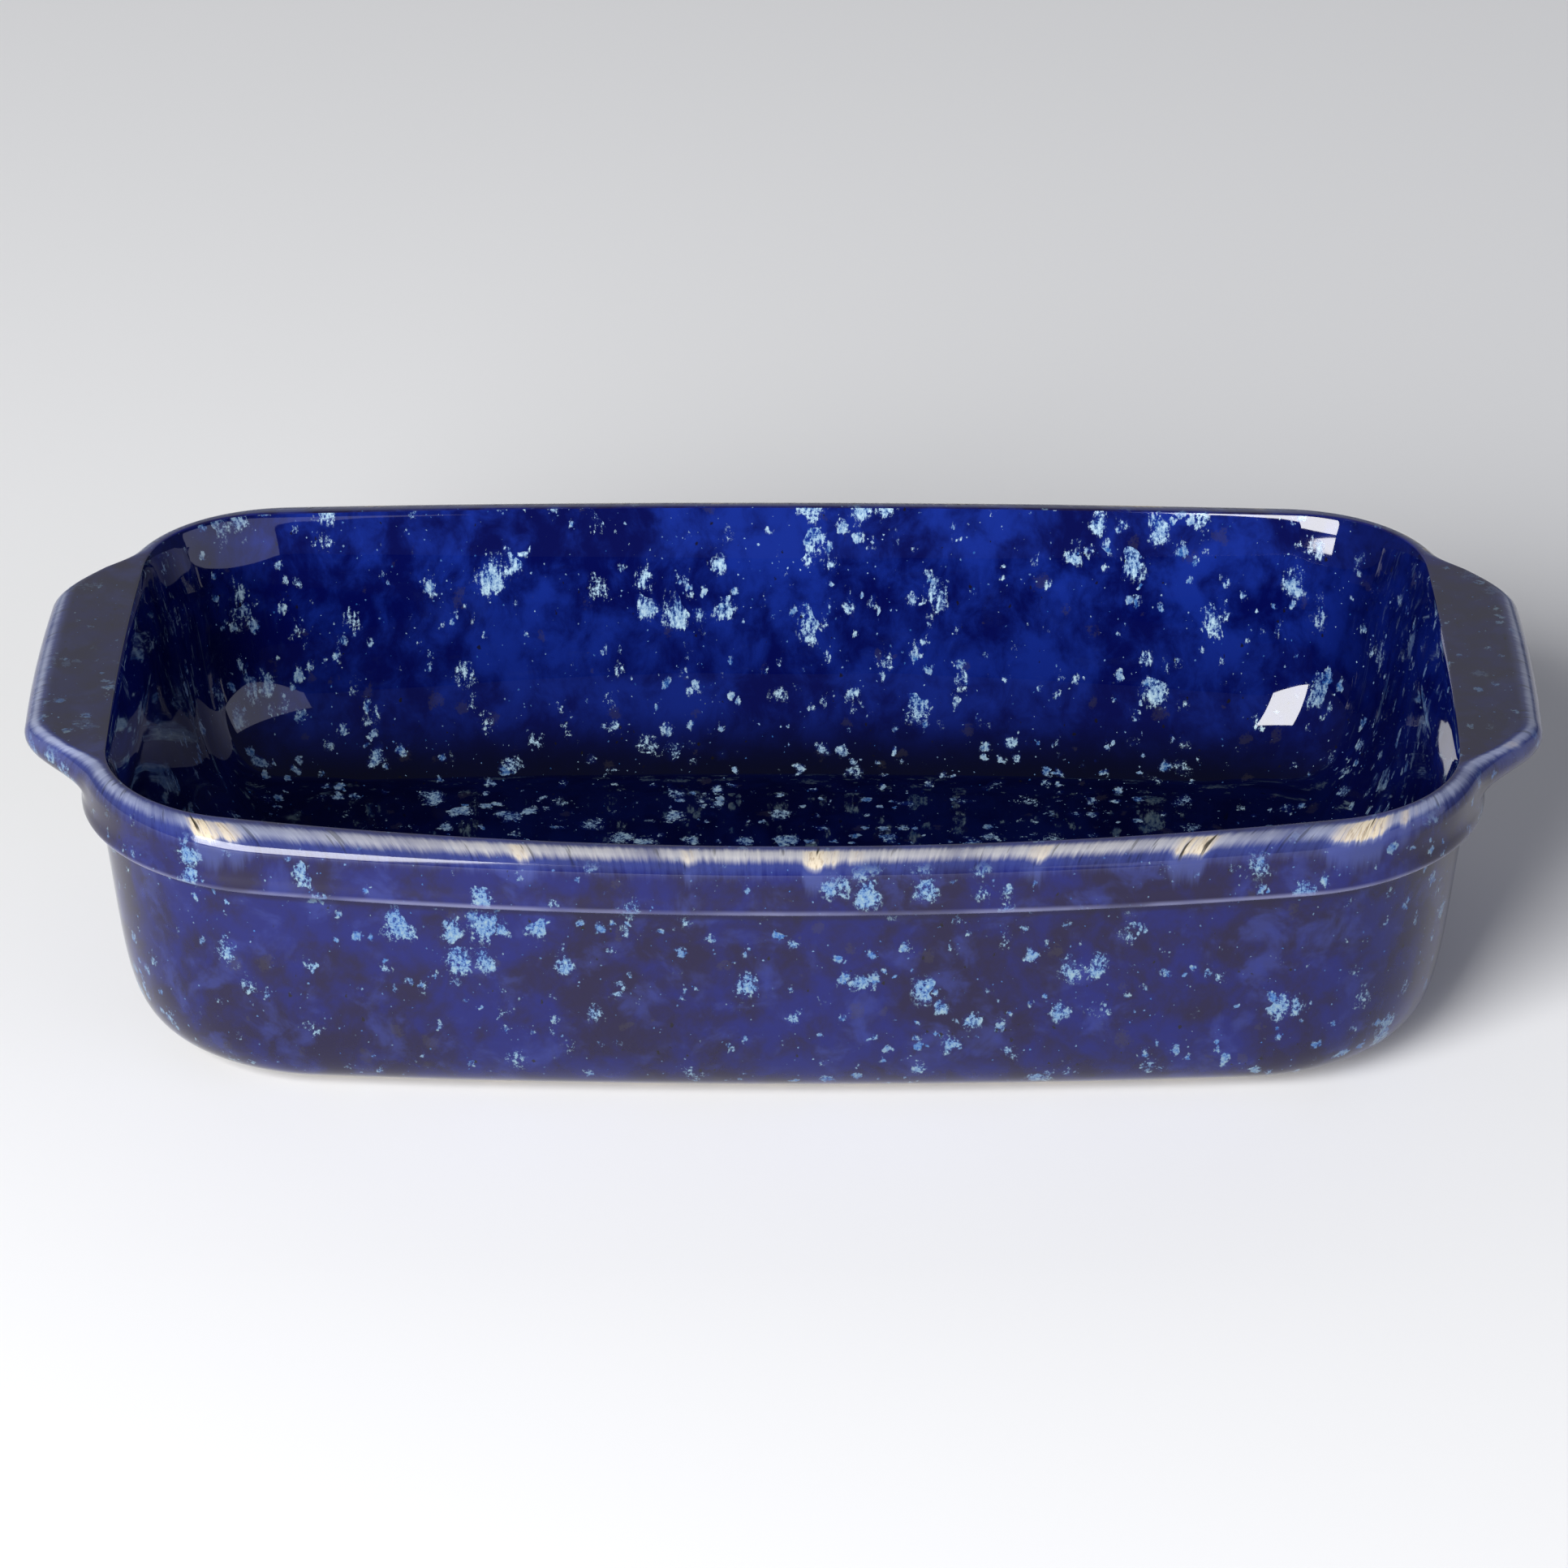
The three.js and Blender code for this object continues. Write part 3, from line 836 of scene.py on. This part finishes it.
def rim_break(tree, flow, lug, colour):
    """Where the glaze runs thin over the rim: a cream band, blue haze below it, iron ticks."""
    beyond, _, along = flow.parts()
    streak = noise(tree, stretched(flow, 1, 1, 0.10), RIM_STREAKS)
    wander = noise(tree, stretched(flow, 1, 1, 0), RIM_WANDER)
    patch = wander.ramp(0.54, 0.65) * (1 - lug)
    drip = (streak - 0.5) * STREAK_REACH + patch * PATCH_REACH + lug * LUG_DRIP
    start = along + BREAK_START - lug * LUG_BREAK_LOSS + (streak - 0.5) * START_RAGGED
    band = (along - drip).ramp(0.2 * MM, -2 * MM) * start.ramp(-0.7 * MM, 0.9 * MM)
    haze = (along - drip * 2.4).ramp(4.2 * MM, -0.8 * MM) * start.ramp(-2.4 * MM, 0.6 * MM)
    colour = tree.mix(haze * RIM_HAZE_COVER, colour, RIM_HAZE)
    far = beyond.size().ramp(60 * MM, 125 * MM)
    thin = band * (wander.ramp(0.34, 0.52) * 0.5 + 0.4) * clip(streak * 0.8 + 0.45)
    milk = tree.mix(far * 0.8, MILK, PALE_BLUE)
    colour = tree.mix(clip(thin * (1 - far * 0.2)), colour, milk)
    core = band.ramp(0.4, 0.95) * patch * (streak.ramp(0.32, 0.5) * 0.7 + 0.3)
    colour = tree.mix(core, colour, CREAM)
    rust = noise(tree, stretched(flow, 1, 1, 0.3), RIM_RUST).ramp(0.50, 0.66)
    colour = tree.mix(rust * core * 0.55, colour, RUST)
    ticks = noise(tree, stretched(flow, 1, 1, 0.16), RIM_TICKS).ramp(0.62, 0.69)
    near = (along + TICKS_ABOVE).size().ramp(4 * MM, 1.8 * MM)
    return tree.mix(ticks * near * (patch * 0.5 + 0.45), colour, IRON_SPOT)


SHOULDER_RISE = RIM_RISE * (SHOULDER_HEIGHT - LEVEL_BELOW) / (RIM_HEIGHT - LEVEL_BELOW)
TUCK_BELOW = 0.9 * MM
BEAD_ABOVE = 1.3 * MM


def shoulder_lines(tree, at, colour):
    """Painted shade in the tuck under the shoulder's bead, the bead worn pale and partly a painted
    highlight, and the foot wiped.
    """
    x, _, z = at.parts()
    rise = (x / (BODY_LENGTH / 2)) ** 2 * SHOULDER_RISE
    over = z - SHOULDER_HEIGHT - rise
    # painted shade: a plum band in the concave tuck under the bead
    tuck_shade = (over + TUCK_BELOW).size().ramp(1.3 * MM, 0.3 * MM)
    colour = tree.mix(tuck_shade * TUCK_SHADE_COVER, colour, PLUM)
    # the pale line on the bead: glaze worn thin on its edge, and partly a painted highlight
    bead_wear_and_highlight = (over - BEAD_ABOVE).size().ramp(1.3 * MM, 0.2 * MM)
    worn_and_highlight = noise(tree, at, BEAD_WEAR_AND_HIGHLIGHT).ramp(0.35, 0.65)
    colour = tree.mix(bead_wear_and_highlight * (worn_and_highlight * 0.55 + 0.3), colour, WORN_BLUE_AND_HIGHLIGHT)
    foot = z.ramp(4.2 * MM, 2.3 * MM)
    return tree.mix(foot * FOOT_WASH_COVER, colour, FOOT_WASH)


def violet_glaze():
    """The coat outside: violet blue and plum, with haze where it is thin."""
    material, tree = new_material("violet_glaze")
    at = own_place(tree)
    flow = tree.add("ShaderNodeAttribute", {"attribute_name": "flow"}, out="Vector")
    _, beside, along = flow.parts()
    lug = beside.size().ramp(HANDLE_HALF_WIDTH + HANDLE_FLANK, HANDLE_HALF_WIDTH)
    colour = tree.mix(clouds(tree, at, 0.85), PLUM, VIOLET_BLUE)
    wisps = noise(tree, warped(tree, at, 70, 10 * MM), WISPS).ramp(0.50, 0.70)
    colour = tree.mix(wisps * WISP_COVER, colour, BLUE_HAZE)
    lug_top = lug * along.ramp(-1 * MM, -4 * MM)
    colour = tree.mix(lug_top * LUG_BLACK_COVER, colour, LUG_BLACK)
    room = along.ramp(-0.5 * MM, 3.5 * MM) * 0.85 + 0.15
    colour, crystal = crystals_on(tree, at, colour, CRYSTAL_GREY, room,
                                  drawn=0.5, crowded=0.9, glow_share=0.2)
    colour = shoulder_lines(tree, at, colour)
    colour = rim_break(tree, flow, lug, colour)
    finish_glaze(tree, at, colour, crystal, OUTSIDE_ROUGHNESS,
                 Specular_IOR_Level=OUTSIDE_SPECULAR)
    return material


def base_coat():
    """Thin, dull glaze under the floor."""
    material, tree = new_material("base_glaze")
    at = own_place(tree)
    colour = tree.mix(clouds(tree, at, 1.0), PLUM, UNDER_BLUE)
    mask, _, lit = crystal_marks(tree, at, 0.2, 0.7, 1.0)
    colour = tree.mix(mask * 0.6, colour, CRYSTAL_BLUE)
    normal = bump(tree, noise(tree, at, THIN_COAT_WAVES), 0.3, 0.3 * MM)
    finish_material(tree, colour, lit * 0.1 + UNDER_ROUGHNESS, normal, IOR=GLAZE_IOR)
    return material


def fired_clay(name, grit):
    """Bare stoneware: sandy, matt, with iron grains. Grit is the share of places with a grain."""
    material, tree = new_material(name)
    at = own_place(tree)
    colour = tree.mix(noise(tree, at, CLAY_TONE).ramp(0.3, 0.7), CLAY_DARK, CLAY)
    sand = noise(tree, at, SAND)
    grains, _ = flecks(tree, at, CLAY_GRAIN, grit)
    colour = tree.mix(grains.ramp(0.0, 0.4) * CLAY_IRON_COVER, colour, CLAY_IRON)
    normal = bump(tree, sand, 0.5, 0.15 * MM)
    finish_material(tree, colour, sand * 0.15 + CLAY_ROUGHNESS, normal, IOR=CLAY_IOR)
    return material


# ---------------------------------------------------------------- the pan

SWEEP = sweep_tree()

lower = lower_wall()
upper = handle_edge()
outside = lower + upper + rim_top()
section = outside + cavity_wall()
measure(section, len(lower) + HANDLE_STEPS + DRIP_LINE_STEP - 1)
clay = under_glaze(section)
clay[0] = Station((FOOT_OUTER_INSET, FOOT_HEIGHT), FOOT_PLAN, along=section[0].along)
clay[-1].body = clay[-1].handle = (FLOOR_INSET, FLOOR_HEIGHT - GLAZE)
split = len(outside)


def under_side(z):
    """Rings from the middle of the base out to the inside of the foot ring."""
    edge = Station((FOOT_INNER_INSET, z), FOOT_PLAN)
    return disc(edge.body, FOOT_PLAN)[::-1] + [edge]


def make_outer_glaze():
    stations = section[:split] + clay[:split][::-1] + [section[0]]
    return sweep("rim_and_wall_glaze", stations, violet_glaze())


def make_inner_glaze():
    surface = section[split - 1:] + disc(section[-1].body, FLOOR_PLAN)
    backing = clay[split - 1:] + disc(clay[-1].body, FLOOR_PLAN)
    plain = [s.plain() for s in backing[::-1] + surface]
    return sweep("cavity_glaze", plain, cobalt_glaze())


def make_basin(stoneware):
    wall_share_end_shaded = [s.plain() for s in clay] + disc(clay[-1].body, FLOOR_PLAN)
    return sweep("pressed_body", under_side(FOOT_HEIGHT) + wall_share_end_shaded, stoneware)


def make_handle(name, stoneware, middle):
    """A lug, from where its two skins part at the collar to where they meet on the rim."""
    skin = clay[len(lower) - 1:len(lower) + len(upper) + 1]
    stations = skin + [s.plain() for s in skin[::-1]][1:]
    half = handle_columns()
    return sweep(name, stations, stoneware, (middle - half, 2 * half))


def make_foot_ring():
    near, far = FOOT_OUTER_INSET, FOOT_INNER_INSET
    toe, heel = near + FOOT_DRAFT, far - FOOT_DRAFT
    soft = FOOT_EDGE_ROUNDING
    shelf = FOOT_HEIGHT - GLAZE
    points = [(near, FOOT_HEIGHT), (near, shelf)]
    points += cubic(points[-1], (toe, soft), (toe, 0), (toe + soft, 0), FOOT_STEPS)
    points += [(heel - soft, 0)]
    points += cubic(points[-1], (heel, 0), (heel, soft), (far, shelf), FOOT_STEPS)
    points += [(far, FOOT_HEIGHT), (near, FOOT_HEIGHT)]
    stations = [Station(p, FOOT_PLAN) for p in points]
    return sweep("bare_foot_ring", stations, fired_clay("bare_foot", grit=0.5))


def make_base_glaze():
    down = under_side(FOOT_HEIGHT - GLAZE)
    up = under_side(FOOT_HEIGHT)
    return sweep("base_coat", down + up[::-1], base_coat())


stoneware = fired_clay("stoneware", grit=0.3)
pieces = [
    (make_basin(stoneware), "basin", "stoneware"),
    (make_handle("right_lug", stoneware, 0), "handle_right", "stoneware"),
    (make_handle("left_lug", stoneware, ALL_COLUMNS // 2), "handle_left", "stoneware"),
    (make_foot_ring(), "foot_ring", "bare_foot"),
    (make_inner_glaze(), "inner_glaze", "cobalt_glaze"),
    (make_outer_glaze(), "outer_glaze", "violet_glaze"),
    (make_base_glaze(), "base_glaze", "base_glaze"),
]
for piece, node, slot in pieces:
    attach(piece, "root")
    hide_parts(node)


# ---------------------------------------------------------------- table, lights, camera

TABLE_SIZE = 6
AIM = Vector((0, 0, 40 * MM))  # the place the lights are turned to

# Each light's azimuth and elevation in degrees, its distance, width and height in metres, its
# power in watts and its colour. Azimuth 0 is straight in front.
SOFTBOXES = {
    "front_left": (-30, 24, 2.6, 1.5, 1.7, 150, (1, 1, 1)),
    "front_right": (53, 17, 2.6, 4.6, 1.64, 31, (0.78, 0.8, 1.0)),
    "backdrop": (180, 30, 3.2, 6.0, 2.6, 20, (1, 1, 1)),
}
ROOM_COLOUR = (0.85, 0.9, 1.0, 1)
ROOM_STRENGTH = 0.075

VIEW_AZIMUTH = math.radians(0.409)
VIEW_ELEVATION = math.radians(27.358)
VIEW_ROLL = math.radians(-0.09)
VIEW_DISTANCE = 1.5334
VIEW_RAISED = 33.56 * MM
SENSOR_WIDTH = 36
LENS = 156.65
NEAREST_SEEN = 50 * MM


def outward(azimuth, elevation):
    """The unit vector from the pan toward a light or the camera."""
    level = math.cos(elevation)
    return Vector((math.sin(azimuth) * level, -math.cos(azimuth) * level, math.sin(elevation)))


def pale_table():
    bpy.ops.mesh.primitive_plane_add(size=TABLE_SIZE, location=(0, 0, 0))
    table = bpy.context.object
    table.name = "table"
    material, tree = new_material("pale_table")
    finish_material(tree, TABLE_GREY, TABLE_ROUGHNESS, IOR=TABLE_IOR)
    table.data.materials.append(material)


def softbox(name, azimuth, elevation, distance, width, height, power, colour):
    """A rectangular light aimed at the pan."""
    light = bpy.data.lights.new(name, "AREA")
    light.shape = "RECTANGLE"
    light.size = width
    light.size_y = height
    light.energy = power
    light.color = colour
    lamp = bpy.data.objects.new(name, light)
    bpy.context.scene.collection.objects.link(lamp)
    away = outward(math.radians(azimuth), math.radians(elevation))
    lamp.location = AIM + away * distance
    lamp.rotation_euler = (-away).to_track_quat("-Z", "Y").to_euler()


def studio():
    world = bpy.data.worlds.new("studio")
    bpy.context.scene.world = world
    world.use_nodes = True
    background = world.node_tree.nodes["Background"]
    background.inputs["Color"].default_value = ROOM_COLOUR
    background.inputs["Strength"].default_value = ROOM_STRENGTH
    for name, settings in SOFTBOXES.items():
        softbox(name, *settings)


def camera():
    back = outward(VIEW_AZIMUTH, VIEW_ELEVATION)
    right = Vector((math.cos(VIEW_AZIMUTH), math.sin(VIEW_AZIMUTH), 0))
    up = back.cross(right)
    data = bpy.data.cameras.new("camera")
    data.sensor_width = SENSOR_WIDTH
    data.lens = LENS
    data.clip_start = NEAREST_SEEN
    view = bpy.data.objects.new("camera", data)
    bpy.context.scene.collection.objects.link(view)
    tilted_right = right * math.cos(VIEW_ROLL) + up * math.sin(VIEW_ROLL)
    tilted_up = up * math.cos(VIEW_ROLL) - right * math.sin(VIEW_ROLL)
    place = back * VIEW_DISTANCE + up * VIEW_RAISED
    turned = Matrix((tilted_right, tilted_up, back)).transposed().to_4x4()
    view.matrix_world = Matrix.Translation(place) @ turned
    bpy.context.scene.camera = view


pale_table()
studio()
camera()
bpy.context.scene.view_settings.view_transform = "Standard"
